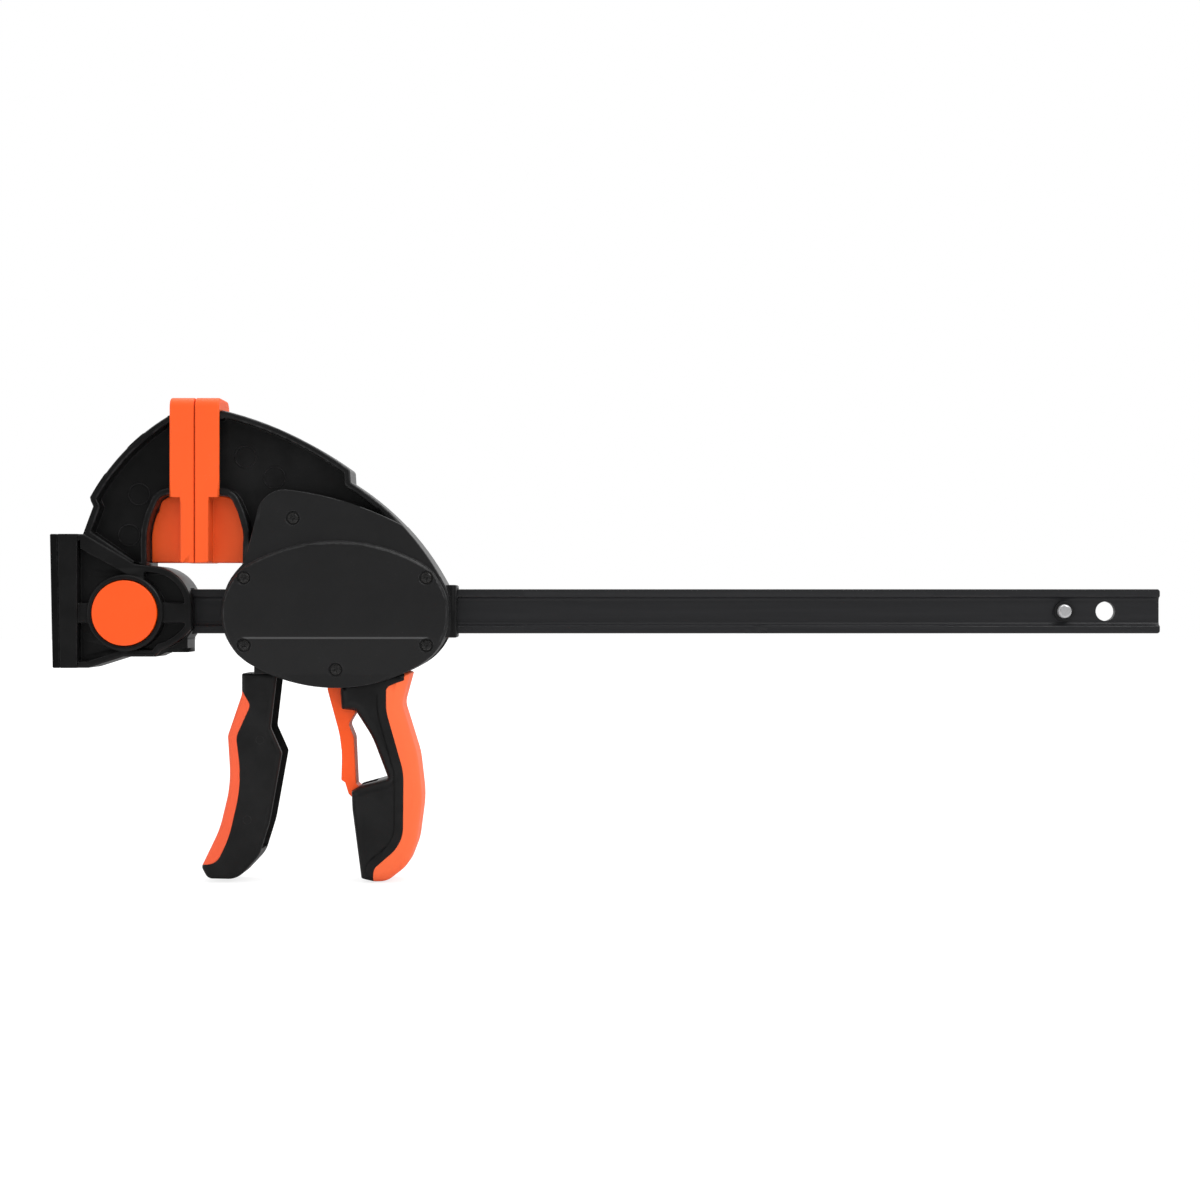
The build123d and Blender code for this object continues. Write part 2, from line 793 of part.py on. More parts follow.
def make_grip_overmould():
    back = make_grip_solid() & centred(grip_back_region(), 2 * grip_width)
    return back - grip_spine()


# ---- squeeze lever ----


def lever_face():
    """The handle part of the lever from the side, soft strip included, drawn from below the pivot."""
    return Pos(pivot_x, 0) * rounded(
        (-13.5, -30.6, 0.8),
        (-13.5, -41.0, 8),
        (-20.5, -61.5, 6),
        (-19.0, -85.0, 60),
        (-24.4, -107.5, 50),
        (-33.5, -126.4, 2.5),
        (-30.4, -132.2, 4),
        (-15.8, -132.5, 10),
        (-4.8, -120.8, 14),
        (0.4, -104.0, 40),
        (6.5, -70.0, 3),
        (0.9, -57.4, 4),
        (4.0, -30.6, 0.8),
    )


def lever_strip_region():
    """Everything in front of the seam between the lever's hard channel and its soft strip."""
    return Pos(pivot_x, 0) * rounded(
        (-13.2, -39.0, 0),
        (-8.9, -46.4, 4),
        (-16.0, -62.0, 9),
        (-13.2, -84.0, 70),
        (-19.8, -113.0, 60),
        (-25.8, -124.6, 7),
        (-41.4, -126.4, 0),
        (-41.4, -39.0, 0),
    )


def lever_yoke_face():
    """Each cheek above the handle, up to the pivot, with the nose that pushes the drive plates."""
    tangent = lever_eye_radius * 0.98
    stem = polygon(
        (-7.2, -31.0),
        (-tangent, pivot_z - 1.5),
        (tangent, pivot_z - 1.5),
        (nose_radius - 1.2, -5.0),
        (2.2, -19.0),
        (3.8, -31.0),
    )
    return Pos(pivot_x, 0) * (stem + disc(0, pivot_z, lever_eye_radius) + disc(0, 0, nose_radius))


def make_lever_solid():
    """The whole handle, channel and soft strip together, with its long edges rounded for the fingers."""
    handle = centred(lever_face(), lever_width)
    long_edges = handle.edges().filter_by(
        lambda edge: abs(edge.center().Y) > lever_width / 2 - 0.1 and edge.center().Z < -31.0
    )
    return fillet(long_edges, lever_round)


def make_lever():
    handle = lever_face()
    strip = lever_strip_region()
    lever = make_lever_solid() - centred(strip, 2 * lever_width)
    above_foot = block_face(pivot_x - 20, pivot_x + 25, lever_channel_foot, -20)
    channel = (Pos(lever_front_wall, 0) * handle) & above_foot
    channel -= strip
    inner = lever_width - 2 * lever_cheek
    lever -= centred(channel - offset(strip, amount=lever_front_wall / 2), inner)
    half = lever_rib_thickness / 2
    for z in lever_rib_heights:
        rib = inset(handle, lever_rib_recess) & block_face(pivot_x - 20, pivot_x + 25, z - half, z + half)
        lever += centred(rib - strip, inner + 0.4)
    lever += both_sides(lever_yoke_face(), inner / 2, lever_width / 2)
    return lever - centred(disc(pivot_x, pivot_z, pivot_pin_radius + running), 2 * lever_width)


def make_lever_overmould():
    return make_lever_solid() & centred(lever_strip_region(), 2 * lever_width)


def make_lever_pin():
    return slab(disc(pivot_x, pivot_z, pivot_pin_radius), -panel_half_width + 2.1, panel_half_width - 2.1)


# ---- drive plates, brake plate and springs ----


def make_drive_plates():
    """Hardened plates side by side, one solid each."""
    plates = []
    for number in range(plate_count):
        x = plates_x + number * plate_thickness
        face = block_face(x, x + plate_thickness - 0.1, -plate_height / 2, plate_height / 2)
        hole = block_face(
            x - 1, x + plate_thickness + 1, -bar_height / 2 - plate_clearance, bar_height / 2 + plate_clearance
        )
        plates.append(centred(face, plate_width) - centred(hole, bar_width + 2 * plate_clearance))
    return plates


def make_drive_spring():
    return coil(plates_end + 0.1, seat_x - 0.1, spring_radius, spring_wire, spring_turns)


def make_brake_plate():
    """A plate that rocks on its round top edge, with a hole for the bar and a foot that the trigger pushes."""
    half = brake_thickness / 2
    face = block_face(-half, half, brake_foot_z - brake_z, 0) + disc(0, 0, half)
    plate = centred(face, brake_width)
    hole_low = -brake_z - bar_height / 2 - brake_clearance
    hole_high = -brake_z + bar_height / 2 + brake_clearance
    plate -= centred(block_face(-half - 1, half + 1, hole_low, hole_high), bar_width + 2 * plate_clearance)
    below = block_face(-half - 1, half + 1, brake_foot_z - brake_z - 1, brake_shoulder_z - brake_z)
    plate -= both_sides(below, brake_foot_width / 2, brake_width)
    return Pos(brake_x, 0, brake_z) * Rot(0, brake_tilt, 0) * plate


def make_brake_spring():
    return coil(brake_spring_x, brake_seat_x - 0.1, spring_radius, spring_wire, spring_turns)


# ---- release trigger ----


def trigger_face():
    """The release trigger from the side: a tongue up into the housing and a blade that the finger pulls."""
    blade = rounded(
        (66.2, -28.0, 1.6),
        (70.4, -28.0, 1.6),
        (70.4, -33.6, 2),
        (72.4, -38.6, 3),
        (77.0, -44.4, 2),
        (78.7, -50.0, 0.8),
        (75.1, -56.0, 3),
        (77.8, -62.4, 5),
        (78.9, -85.6, 1),
        (84.5, -91.0, 2),
        (78.6, -94.0, 1),
        (75.2, -90.6, 1),
        (73.5, -85.2, 1),
        (71.5, -83.8, 1),
        (72.0, -66.0, 60),
        (64.5, -38.5, 6),
    )
    return blade + disc(trigger_pivot_x, trigger_pivot_z, trigger_eye_radius)


def make_release_trigger():
    trigger = centred(trigger_face(), trigger_width)
    return trigger - centred(disc(trigger_pivot_x, trigger_pivot_z, trigger_pin_radius + running), 30)


def make_trigger_pin():
    return slab(disc(trigger_pivot_x, trigger_pivot_z, trigger_pin_radius), -grip_width / 2 + 2.1,
                grip_width / 2 - 0.2)


# ---- every piece, by name ----


def make_pieces():
    pad = make_pad()
    return {
        "bar": make_bar(),
        "stop_pin": make_stop_pin(),
        "fixed_jaw": make_fixed_jaw(),
        "fixed_jaw_pad": mirror(pad, Plane.YZ),
        "end_pad": make_end_pad(),
        "push_button": make_push_button(),
        "lock_pin": make_lock_pin(),
        "lock_clip": make_lock_clip(),
        "button_spring": make_button_spring(),
        "jaw_body": make_jaw_body(),
        "housing_cover": make_housing_cover(),
        "cover_screws": make_cover_screws(),
        "moving_jaw_pad": pad,
        "grip_overmould": make_grip_overmould(),
        "lever": make_lever(),
        "lever_overmould": make_lever_overmould(),
        "lever_pin": make_lever_pin(),
        "drive_plates": make_drive_plates(),
        "drive_spring": make_drive_spring(),
        "brake_plate": make_brake_plate(),
        "brake_spring": make_brake_spring(),
        "release_trigger": make_release_trigger(),
        "trigger_pin": make_trigger_pin(),
    }


def export_pieces():
    os.makedirs("parts", exist_ok=True)
    to_origin = Pos(0, 0, -pad_middle_z)
    for name, shape in make_pieces().items():
        solids = shape if isinstance(shape, list) else shape.solids()
        placed = [to_origin * solid for solid in solids]
        whole = placed[0] if len(placed) == 1 else Compound(children=placed)
        export_step(whole, f"parts/{name}.step")


export_pieces()
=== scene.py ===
"""The looks of the quick release bar clamp: its finishes, rounded mouldings, light and camera.

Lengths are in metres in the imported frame: X along the bar to its free end, Z up to the jaws' tips,
and the push button and the screwed cover on the -Y side. The origin is the middle of the closed
pads' faces.
"""

import json
import math

import bmesh
import bpy
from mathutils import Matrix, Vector
from mathutils.bvhtree import BVHTree
from mathutils.geometry import area_tri
from mathutils.kdtree import KDTree


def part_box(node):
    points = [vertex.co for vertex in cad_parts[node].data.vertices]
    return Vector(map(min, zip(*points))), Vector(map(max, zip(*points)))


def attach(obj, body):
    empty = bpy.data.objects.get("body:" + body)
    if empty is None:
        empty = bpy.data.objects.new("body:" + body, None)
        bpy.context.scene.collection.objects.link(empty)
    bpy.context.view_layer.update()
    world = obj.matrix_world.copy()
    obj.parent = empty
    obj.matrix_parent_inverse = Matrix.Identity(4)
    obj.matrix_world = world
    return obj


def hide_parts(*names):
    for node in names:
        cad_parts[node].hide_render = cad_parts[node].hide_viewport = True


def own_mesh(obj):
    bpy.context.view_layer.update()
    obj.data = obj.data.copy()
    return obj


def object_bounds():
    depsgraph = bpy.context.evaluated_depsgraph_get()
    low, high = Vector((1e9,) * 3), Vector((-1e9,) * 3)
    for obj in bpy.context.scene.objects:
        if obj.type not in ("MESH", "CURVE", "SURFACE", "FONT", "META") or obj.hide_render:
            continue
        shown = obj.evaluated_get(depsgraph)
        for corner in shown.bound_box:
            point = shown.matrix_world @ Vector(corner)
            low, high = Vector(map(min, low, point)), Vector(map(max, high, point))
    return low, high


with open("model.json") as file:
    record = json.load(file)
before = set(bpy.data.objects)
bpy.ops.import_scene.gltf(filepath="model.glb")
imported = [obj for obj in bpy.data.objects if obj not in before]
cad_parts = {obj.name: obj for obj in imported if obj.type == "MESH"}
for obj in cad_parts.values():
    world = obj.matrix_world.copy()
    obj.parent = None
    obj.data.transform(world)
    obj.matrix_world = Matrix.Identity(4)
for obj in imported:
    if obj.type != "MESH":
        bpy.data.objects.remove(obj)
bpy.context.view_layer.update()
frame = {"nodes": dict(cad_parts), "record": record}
nodes = frame["nodes"]
mm = 0.001

# ---- node maths ----


class Value:
    """A number in a node tree. Python's operators on it add Math nodes."""

    def __init__(self, tree, socket):
        self.tree = tree
        self.socket = socket

    def _math(self, operation, *terms):
        return self.tree.node("ShaderNodeMath", {"operation": operation}, dict(enumerate(terms)))

    def __add__(self, other):
        return self._math("ADD", self, other)

    __radd__ = __add__

    def __sub__(self, other):
        return self._math("SUBTRACT", self, other)

    def __rsub__(self, other):
        return self._math("SUBTRACT", other, self)

    def __mul__(self, other):
        return self._math("MULTIPLY", self, other)

    __rmul__ = __mul__

    def __truediv__(self, other):
        return self._math("DIVIDE", self, other)

    def larger(self, other):
        return self._math("MAXIMUM", self, other)

    def magnitude(self):
        return self._math("ABSOLUTE", self)

    def sine(self):
        return self._math("SINE", self)

    def cosine(self):
        return self._math("COSINE", self)

    def ramp(self, start, end):
        """0 below start, 1 above end, smooth between."""
        settings = {"interpolation_type": "SMOOTHSTEP"}
        values = {"Value": self, "From Min": start, "From Max": end}
        return self.tree.node("ShaderNodeMapRange", settings, values)


class Tree:
    """A node tree, and the one way that its nodes are added."""

    def __init__(self, tree):
        self.tree = tree

    def feed(self, socket, value):
        """Links a value to a socket, or sets a plain number, colour or other thing on it."""
        if isinstance(value, Value):
            self.tree.links.new(value.socket, socket)
        else:
            socket.default_value = value

    def node(self, kind, settings=None, values=None, output=0):
        """Adds a node, with its settings first and then what goes into its sockets."""
        made = self.tree.nodes.new(kind)
        for key, value in (settings or {}).items():
            setattr(made, key, value)
        for key, value in (values or {}).items():
            self.feed(made.inputs[key], value)
        return Value(self, made.outputs[output])


class Finish(Tree):
    """One material and the nodes that make it."""

    def __init__(self, name):
        self.material = bpy.data.materials.new(name)
        self.material.use_nodes = True
        super().__init__(self.material.node_tree)
        self.shader = self.tree.nodes["Principled BSDF"]
        self.place = self.node("ShaderNodeTexCoord", output="Object")

    def scaled(self, factors):
        """The place on the piece, multiplied along X, Y and Z."""
        settings = {"operation": "MULTIPLY"}
        return self.node("ShaderNodeVectorMath", settings, {0: self.place, 1: factors})

    def noise(self, scale, detail=2.0, roughness=0.5, stretch=None):
        """Cloudy noise with so many cells to the metre, about 0.5 in the middle."""
        where = self.scaled(stretch) if stretch else self.place
        values = {"Vector": where, "Scale": scale, "Detail": detail, "Roughness": roughness}
        return self.node("ShaderNodeTexNoise", None, values)

    def cells(self, scale, stretch=None):
        """Distance to the nearest of scattered points, with so many cells to the metre."""
        where = self.scaled(stretch) if stretch else self.place
        return self.node("ShaderNodeTexVoronoi", None, {"Vector": where, "Scale": scale})

    def axis(self, name):
        """One coordinate of the place, in metres."""
        return self.node("ShaderNodeSeparateXYZ", None, {0: self.place}, output=name)

    def attribute(self, name):
        """A number kept on the piece's own corners."""
        return self.node("ShaderNodeAttribute", {"attribute_name": name}, output="Fac")

    def blend(self, share, first, second):
        """A colour between two colours."""
        made = self.tree.nodes.new("ShaderNodeMix")
        made.data_type = "RGBA"
        self.feed(made.inputs["Factor"], share)
        for socket, colour in ((made.inputs["A"], first), (made.inputs["B"], second)):
            self.feed(socket, colour if isinstance(colour, Value) else (*colour, 1.0))
        return Value(self, made.outputs["Result"])

    def bump(self, height, strength, distance, under=None):
        """The surface's normal over a height map. Distance is the height of a full step."""
        values = {"Height": height, "Strength": strength, "Distance": distance}
        if under:
            values["Normal"] = under
        return self.node("ShaderNodeBump", None, values)

    def set(self, **values):
        """Feeds the shader's sockets, named with _ for each space, and gives the material."""
        for key, value in values.items():
            self.feed(self.shader.inputs[key.replace("_", " ")], value)
        return self.material


# ---- finishes ----

dust_grey = (0.08, 0.077, 0.074)
# the colour of the painted highlight along the cover's crest
crest_highlight_grey = (0.085, 0.085, 0.087)
handled_rubber = (0.52, 0.12, 0.05)
lint_on_rubber = (0.75, 0.45, 0.36)
worn_oxide = (0.15, 0.145, 0.14)
oil_stain = (0.28, 0.24, 0.19)
fine_relief = 0.03 * mm
grain_relief = 0.04 * mm
line_relief = 0.08 * mm
usual_shine = 0.4
cover_face = -18.0 * mm


def shade(colour, factor, lift=0.0):
    """A colour times a factor, then lifted, and no brighter than white."""
    return [min(1.0, c * factor + lift) for c in colour]


def mould_line(skin, under):
    """The fine raised line where the mould's halves met, along the middle of a piece."""
    line = skin.axis("Y").magnitude().ramp(0.22 * mm, 0.06 * mm)
    return skin.bump(line, 0.5, line_relief, under=under)


def painted_crest_highlight(skin, height, start, end):
    """Where a straight crest on the cover's face gets a painted highlight, at one height and between
    two ends.
    """
    along = skin.axis("X")
    between_ends = along.ramp(start, start + 2 * mm) * along.ramp(end, end - 2 * mm)
    on_crest = (skin.axis("Z") - height).magnitude().ramp(0.7 * mm, 0.2 * mm)
    return on_crest * between_ends * skin.axis("Y").ramp(cover_face, cover_face - 0.5 * mm)


def moulded_black(name, base, roughness, shine=0.35, dust=0.3, mottle=0.25, crest=None):
    """Glass-filled nylon: fine grain, a soft sheen, rubbed edges lightened as wear and as a painted
    highlight, and a little dust.

    Crest is the height and the two ends of a straight crest that gets a painted highlight as well.
    """
    skin = Finish(name)
    cloud = skin.noise(60.0, detail=4.0, roughness=0.6).ramp(0.3, 0.7)
    grain = skin.noise(3200.0, detail=2.0, roughness=0.6)
    pits = skin.cells(2100.0)
    flow = skin.noise(9.0, detail=3.0, roughness=0.5, stretch=(1.0, 1.0, 3.0))
    rub = skin.attribute("edge") * skin.noise(420.0, detail=4.0).ramp(0.32, 0.68)
    specks = skin.cells(520.0).ramp(0.14, 0.05) * skin.noise(60.0).ramp(0.5, 0.7)
    tone = skin.blend(cloud, shade(base, 1.0 - mottle), shade(base, 1.0 + mottle))
    # rounded crests lightened: partly wear, partly a painted highlight of lit edges
    tone = skin.blend(rub * 0.6, tone, shade(base, 3.0, lift=0.014))
    if crest:
        # a painted highlight along the cover's crest
        tone = skin.blend(painted_crest_highlight(skin, *crest) * 0.8, tone, crest_highlight_grey)
    tone = skin.blend(specks * dust, tone, dust_grey)
    rough = roughness + 0.03 * (cloud - 0.5) + 0.04 * (flow - 0.5) - 0.08 * rub
    rough = rough + 0.03 * (grain - 0.5)
    relief = mould_line(skin, skin.bump(grain + 0.6 * pits, 0.3, fine_relief))
    return skin.set(Base_Color=tone, Roughness=rough, Normal=relief, Specular_IOR_Level=shine)


def soft_orange(name, base, roughness, grain_scale=1500.0):
    """Thermoplastic rubber: matt, finely grained, a little cloudy, and dulled where it is held."""
    skin = Finish(name)
    cloud = skin.noise(30.0, detail=3.0)
    grain = skin.cells(grain_scale)
    fine = skin.noise(4200.0, detail=1.0)
    rub = skin.attribute("edge")
    handled = skin.noise(75.0, detail=5.0, roughness=0.65).ramp(0.56, 0.74)
    lint = skin.cells(700.0).ramp(0.13, 0.04) * skin.noise(45.0).ramp(0.52, 0.66)
    tone = skin.blend(cloud, shade(base, 0.95), shade(base, 1.05))
    tone = skin.blend(handled * 0.08, tone, handled_rubber)
    tone = skin.blend(rub * 0.15, tone, shade(base, 1.0, lift=0.05))
    tone = skin.blend(lint * 0.15, tone, lint_on_rubber)
    rough = roughness + 0.1 * (cloud - 0.5) - 0.06 * handled - 0.05 * rub
    relief = mould_line(skin, skin.bump(grain + 0.5 * fine, 0.4, grain_relief))
    skin.set(Specular_IOR_Level=usual_shine, Sheen_Weight=0.03, Sheen_Roughness=0.5)
    return skin.set(Base_Color=tone, Roughness=rough, Normal=relief)


def moulded_orange(name, base, roughness):
    """Hard acetal: smoother and glossier than the rubber, with faint clouds and fine scratches."""
    skin = Finish(name)
    cloud = skin.noise(55.0, detail=3.0)
    upright = (1.0, 1.0, 14.0)
    scratch = skin.noise(90.0, detail=6.0, roughness=0.7, stretch=upright).ramp(0.62, 0.7)
    grain = skin.noise(2600.0, detail=2.0)
    rub = skin.attribute("edge")
    tone = skin.blend(cloud, shade(base, 0.97), shade(base, 1.03))
    tone = skin.blend(rub * 0.2, tone, shade(base, 1.0, lift=0.05))
    rough = roughness + 0.08 * (cloud - 0.5) + 0.1 * scratch
    relief = skin.bump(grain + 0.4 * scratch, 0.25, grain_relief)
    skin.set(Specular_IOR_Level=usual_shine)
    return skin.set(Base_Color=tone, Roughness=rough, Normal=relief)


def black_oxide(name):
    """Rolled steel, blackened: long drawing marks, a satin sheen and bare metal on worn edges."""
    skin = Finish(name)
    drawn = skin.noise(700.0, detail=4.0, roughness=0.6, stretch=(0.02, 1.0, 1.0))
    cloud = skin.noise(22.0, detail=4.0, stretch=(0.35, 1.0, 1.0))
    grain = skin.noise(2800.0, detail=2.0)
    wear = skin.noise(160.0, detail=5.0, stretch=(0.3, 1.0, 1.0)).ramp(0.42, 0.66)
    rub = skin.attribute("edge") * wear
    nick = skin.noise(130.0, detail=6.0, roughness=0.7, stretch=(0.25, 1.0, 1.0)).ramp(0.7, 0.76)
    tone = skin.blend(cloud, (0.0166, 0.0168, 0.0184), (0.0198, 0.0200, 0.0218))
    tone = skin.blend(drawn.ramp(0.35, 0.75) * 0.3, tone, (0.0275, 0.0278, 0.030))
    tone = skin.blend((rub * 0.35).larger(nick * 0.1), tone, worn_oxide)
    rough = 0.40 + 0.05 * (cloud - 0.5) + 0.08 * (drawn - 0.5)
    metal = 0.15 + 0.5 * rub
    relief = skin.bump(drawn + 0.4 * grain, 0.3, grain_relief)
    skin.set(Specular_IOR_Level=usual_shine)
    return skin.set(Base_Color=tone, Roughness=rough, Metallic=metal, Normal=relief)


def bare_steel(name, base, roughness, stretch=(1.0, 1.0, 1.0)):
    """Ground or drawn bright steel with fine lines and a few darker oil stains."""
    skin = Finish(name)
    lines = skin.noise(1600.0, detail=3.0, stretch=stretch)
    stain = skin.noise(140.0, detail=4.0).ramp(0.55, 0.75)
    tone = skin.blend(lines, shade(base, 0.9), shade(base, 1.08))
    tone = skin.blend(stain * 0.3, tone, oil_stain)
    rough = roughness + 0.14 * (lines - 0.5) + 0.1 * stain
    relief = skin.bump(lines, 0.25, fine_relief)
    return skin.set(Base_Color=tone, Roughness=rough, Metallic=1.0, Normal=relief)


def pressed_pin(name, node, dome_radius):
    """A bright domed pin in a blackened collar: the steel shows only inside the dome's edge."""
    skin = Finish(name)
    low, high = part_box(node)
    middle = ((low.x + high.x) / 2, 0.0, (low.z + high.z) / 2)
    ends = {0: skin.scaled((1.0, 0.0, 1.0)), 1: middle}
    from_middle = skin.node("ShaderNodeVectorMath", {"operation": "DISTANCE"}, ends, output="Value")
    dome = from_middle.ramp(dome_radius + 0.1 * mm, dome_radius - 0.1 * mm)
    lines = skin.noise(1900.0, detail=2.0)
    bright = skin.blend(lines, (0.58, 0.58, 0.59), (0.74, 0.74, 0.75))
    tone = skin.blend(dome, (0.008, 0.008, 0.0085), bright)
    rough = 0.42 - 0.2 * dome + 0.08 * (lines - 0.5)
    relief = skin.bump(lines, 0.2, fine_relief)
    return skin.set(Base_Color=tone, Roughness=rough, Metallic=0.6 * dome, Normal=relief)


def screw_black(name):
    """Black oxide on small screws, glossier than the bar, with bright rubbed recess edges."""
    skin = Finish(name)
    rub = skin.attribute("edge") * skin.noise(1500.0, detail=3.0).ramp(0.3, 0.55)
    cloud = skin.noise(500.0)
    tone = skin.blend(rub * 0.6, (0.010, 0.010, 0.0105), (0.20, 0.19, 0.18))
    rough = 0.28 + 0.12 * (cloud - 0.5)
    relief = skin.bump(cloud, 0.2, fine_relief)
    return skin.set(Base_Color=tone, Roughness=rough, Metallic=0.2, Normal=relief)


# the height and ends of the cover's fold, where a highlight is painted
cover_fold = (-77.9 * mm, 24.0 * mm, 116.5 * mm)
finishes = {
    "black_moulding": moulded_black("housing_nylon", (0.0084, 0.0084, 0.0087), 0.38),
    # painted shade: a darker copy of the housing's nylon, for the fixed jaw's shaded pockets and
    # recesses
    "black_jaw_moulding": moulded_black("jaw_nylon", (0.0052, 0.0052, 0.0054), 0.38),
    "black_cover_moulding": moulded_black(
        "cover_nylon", (0.0122, 0.0122, 0.0126), 0.42, mottle=0.04, crest=cover_fold),
    "black_pad_rubber": moulded_black("end_pad_rubber", (0.0035, 0.0035, 0.0036), 0.5, shine=0.15),
    "orange_pad_rubber": soft_orange("pad_rubber", (0.90, 0.094, 0.004), 0.55),
    "orange_grip_rubber": soft_orange("grip_rubber", (0.94, 0.140, 0.036), 0.6, grain_scale=1900.0),
    "orange_moulding": moulded_orange("button_acetal", (0.94, 0.084, 0.0), 0.42),
    "black_oxide_steel": black_oxide("bar_black_oxide"),
    "bright_steel": bare_steel(
        "ground_steel", (0.60, 0.60, 0.61), 0.28, stretch=(1.0, 0.1, 1.0)),
    "spring_steel": bare_steel("spring_wire", (0.48, 0.48, 0.5), 0.32),
    "black_screw_steel": screw_black("screw_black_oxide"),
}
special_finish = {
    "stop_pin": pressed_pin("stop_pin_steel", "stop_pin", 3.4 * mm),
    "lever": moulded_black("lever_nylon", (0.0098, 0.0098, 0.0101), 0.38),
    # painted shade: the grip's rubber made deeper for the lever's strip, which is the same rubber
    "lever_overmould": soft_orange(
        "lever_rubber", (0.84, 0.102, 0.032), 0.6, grain_scale=1900.0),
}

# ---- pieces ----

record = frame["record"]
body_of = {n: body for body, names in record["behaviour"]["bodies"].items() for n in names}
slot_of = {part["node"]: part["material_slot"] for part in record["subparts"]}

weld = 0.05 * mm  # corners nearer than this are one
flat_turn = math.radians(0.6)  # faces that turn less are one face
sharp_turn = math.radians(32)  # edges that turn more are rounded
shading_turn = math.radians(50)  # edges that turn more are shaded sharp
crest_turn = math.radians(20)  # corners that turn as much are fully rubbed
least_breadth = 0.8  # faces narrower than this many radii keep their edges
fault_reach = 1.5  # edges within this many radii of a fault stay sharp
smallest_fault = 0.12 * mm * mm  # smaller faces are never faults
least_agreement = 0.2  # between the directions of a face and of the solid below it
most_tries = 5
rim_steps = 3
edge_steps = 2


def dress(piece, node):
    """Gives a piece its node's finish, and makes it stand for the node and move with its body."""
    slot = slot_of[node]
    piece.data.materials.clear()
    piece.data.materials.append(special_finish.get(node, finishes[slot]))
    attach(piece, body_of[node])
    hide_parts(node)
    return piece


def add_object(name, mesh_data):
    piece = bpy.data.objects.new(name, mesh_data)
    bpy.context.scene.collection.objects.link(piece)
    return piece


def mark_edges(shape, rounded_faces):
    """Notes how far each corner is the crest of a rounded outside edge, which rubs first and which
    the black nylon lightens as a painted highlight.
    """
    layer = shape.verts.layers.float.new("edge")
    for vertex in shape.verts:
        if rounded_faces.issuperset(vertex.link_faces):
            edges = [e for e in vertex.link_edges if len(e.link_faces) == 2]
            outward = max((e.calc_face_angle_signed(0.0) for e in edges), default=0.0)
            vertex[layer] = min(1.0, max(0.0, outward / crest_turn))


def keep_on_surface(shape, surface, reach, low, high):
    """Brings back corners that rounding threw off the solid, and keeps all inside its box."""
    for vertex in shape.verts:
        place, normal, face, distance = surface.find_nearest(vertex.co)
        if distance > reach:
            vertex.co = place
        vertex.co = [min(max(value, a), b) for value, a, b in zip(vertex.co, low, high)]


def cut_across(shape, low, high, axes, spacing):
    """Cuts a piece's faces at even places, so that no face runs right round a hole."""
    for axis in ["XYZ".index(name) for name in axes]:
        count = max(1, round((high[axis] - low[axis]) / spacing))
        for number in range(count):
            place = Vector()
            place[axis] = low[axis] + (high[axis] - low[axis]) * (number + 0.5) / count
            across = Vector()
            across[axis] = 1.0
            everything = shape.verts[:] + shape.edges[:] + shape.faces[:]
            cut = bmesh.ops.bisect_plane(
                shape, geom=everything, dist=1e-6, plane_co=place, plane_no=across)
            for part in cut["geom_cut"]:
                if isinstance(part, bmesh.types.BMEdge):
                    part.seam = True


def round_edges(shape, edges, radius, steps):
    """Rounds edges and gives the faces of the rounds."""
    made = bmesh.ops.bevel(
        shape, geom=edges, offset=radius, offset_type="OFFSET", segments=steps, profile=0.5,
        affect="EDGES", clamp_overlap=False, miter_outer="ARC", loop_slide=True,
    )
    return made["faces"]


def find_faults(shape, surface, reach):
    """The corners of faces that rounding folded over or threw off the solid."""
    faults = []
    for loops in shape.calc_loop_triangles():
        corners = [loop.vert.co.copy() for loop in loops]
        if area_tri(*corners) < smallest_fault:
            continue
        facing = (corners[1] - corners[0]).cross(corners[2] - corners[0]).normalized()
        place, outward, face, distance = surface.find_nearest(sum(corners, Vector()) / 3)
        if distance > reach or facing.dot(outward) < least_agreement:
            faults += corners
    return faults


def rounded_shape(start, faults, radius, rim):
    """A copy of a solid with its edges rounded, but for those that end near an earlier fault."""
    shape = start.copy()
    troubled = KDTree(len(faults))
    for number, place in enumerate(faults):
        troubled.insert(place, number)
    troubled.balance()
    clear_of = {}

    def is_clear(vertex):
        if vertex not in clear_of:
            clear_of[vertex] = not faults or troubled.find(vertex.co)[2] > fault_reach * radius
        return clear_of[vertex]

    def is_sharp(edge):
        """Whether an edge turns enough, between faces that are broad enough to be rounded."""
        if len(edge.link_faces) != 2 or edge.calc_face_angle(0.0) < sharp_turn:
            return False
        if not all(map(is_clear, edge.verts)):
            return False
        least = least_breadth * radius * edge.calc_length()
        return all(face.calc_area() > least for face in edge.link_faces)

    rounded_faces = []
    if rim:
        rim_place, rim_radius = rim
        on_rim = [e for e in shape.edges if is_sharp(e) and e.calc_face_angle_signed(0.0) > 0
                  and all(abs(abs(v.co.y) - rim_place) < weld for v in e.verts)]
        rounded_faces += round_edges(shape, on_rim, rim_radius, rim_steps)
    clear_of.clear()
    still_sharp = [e for e in shape.edges if is_sharp(e)]
    rounded_faces += round_edges(shape, still_sharp, radius, edge_steps)
    return shape, {face for face in rounded_faces if face.is_valid}


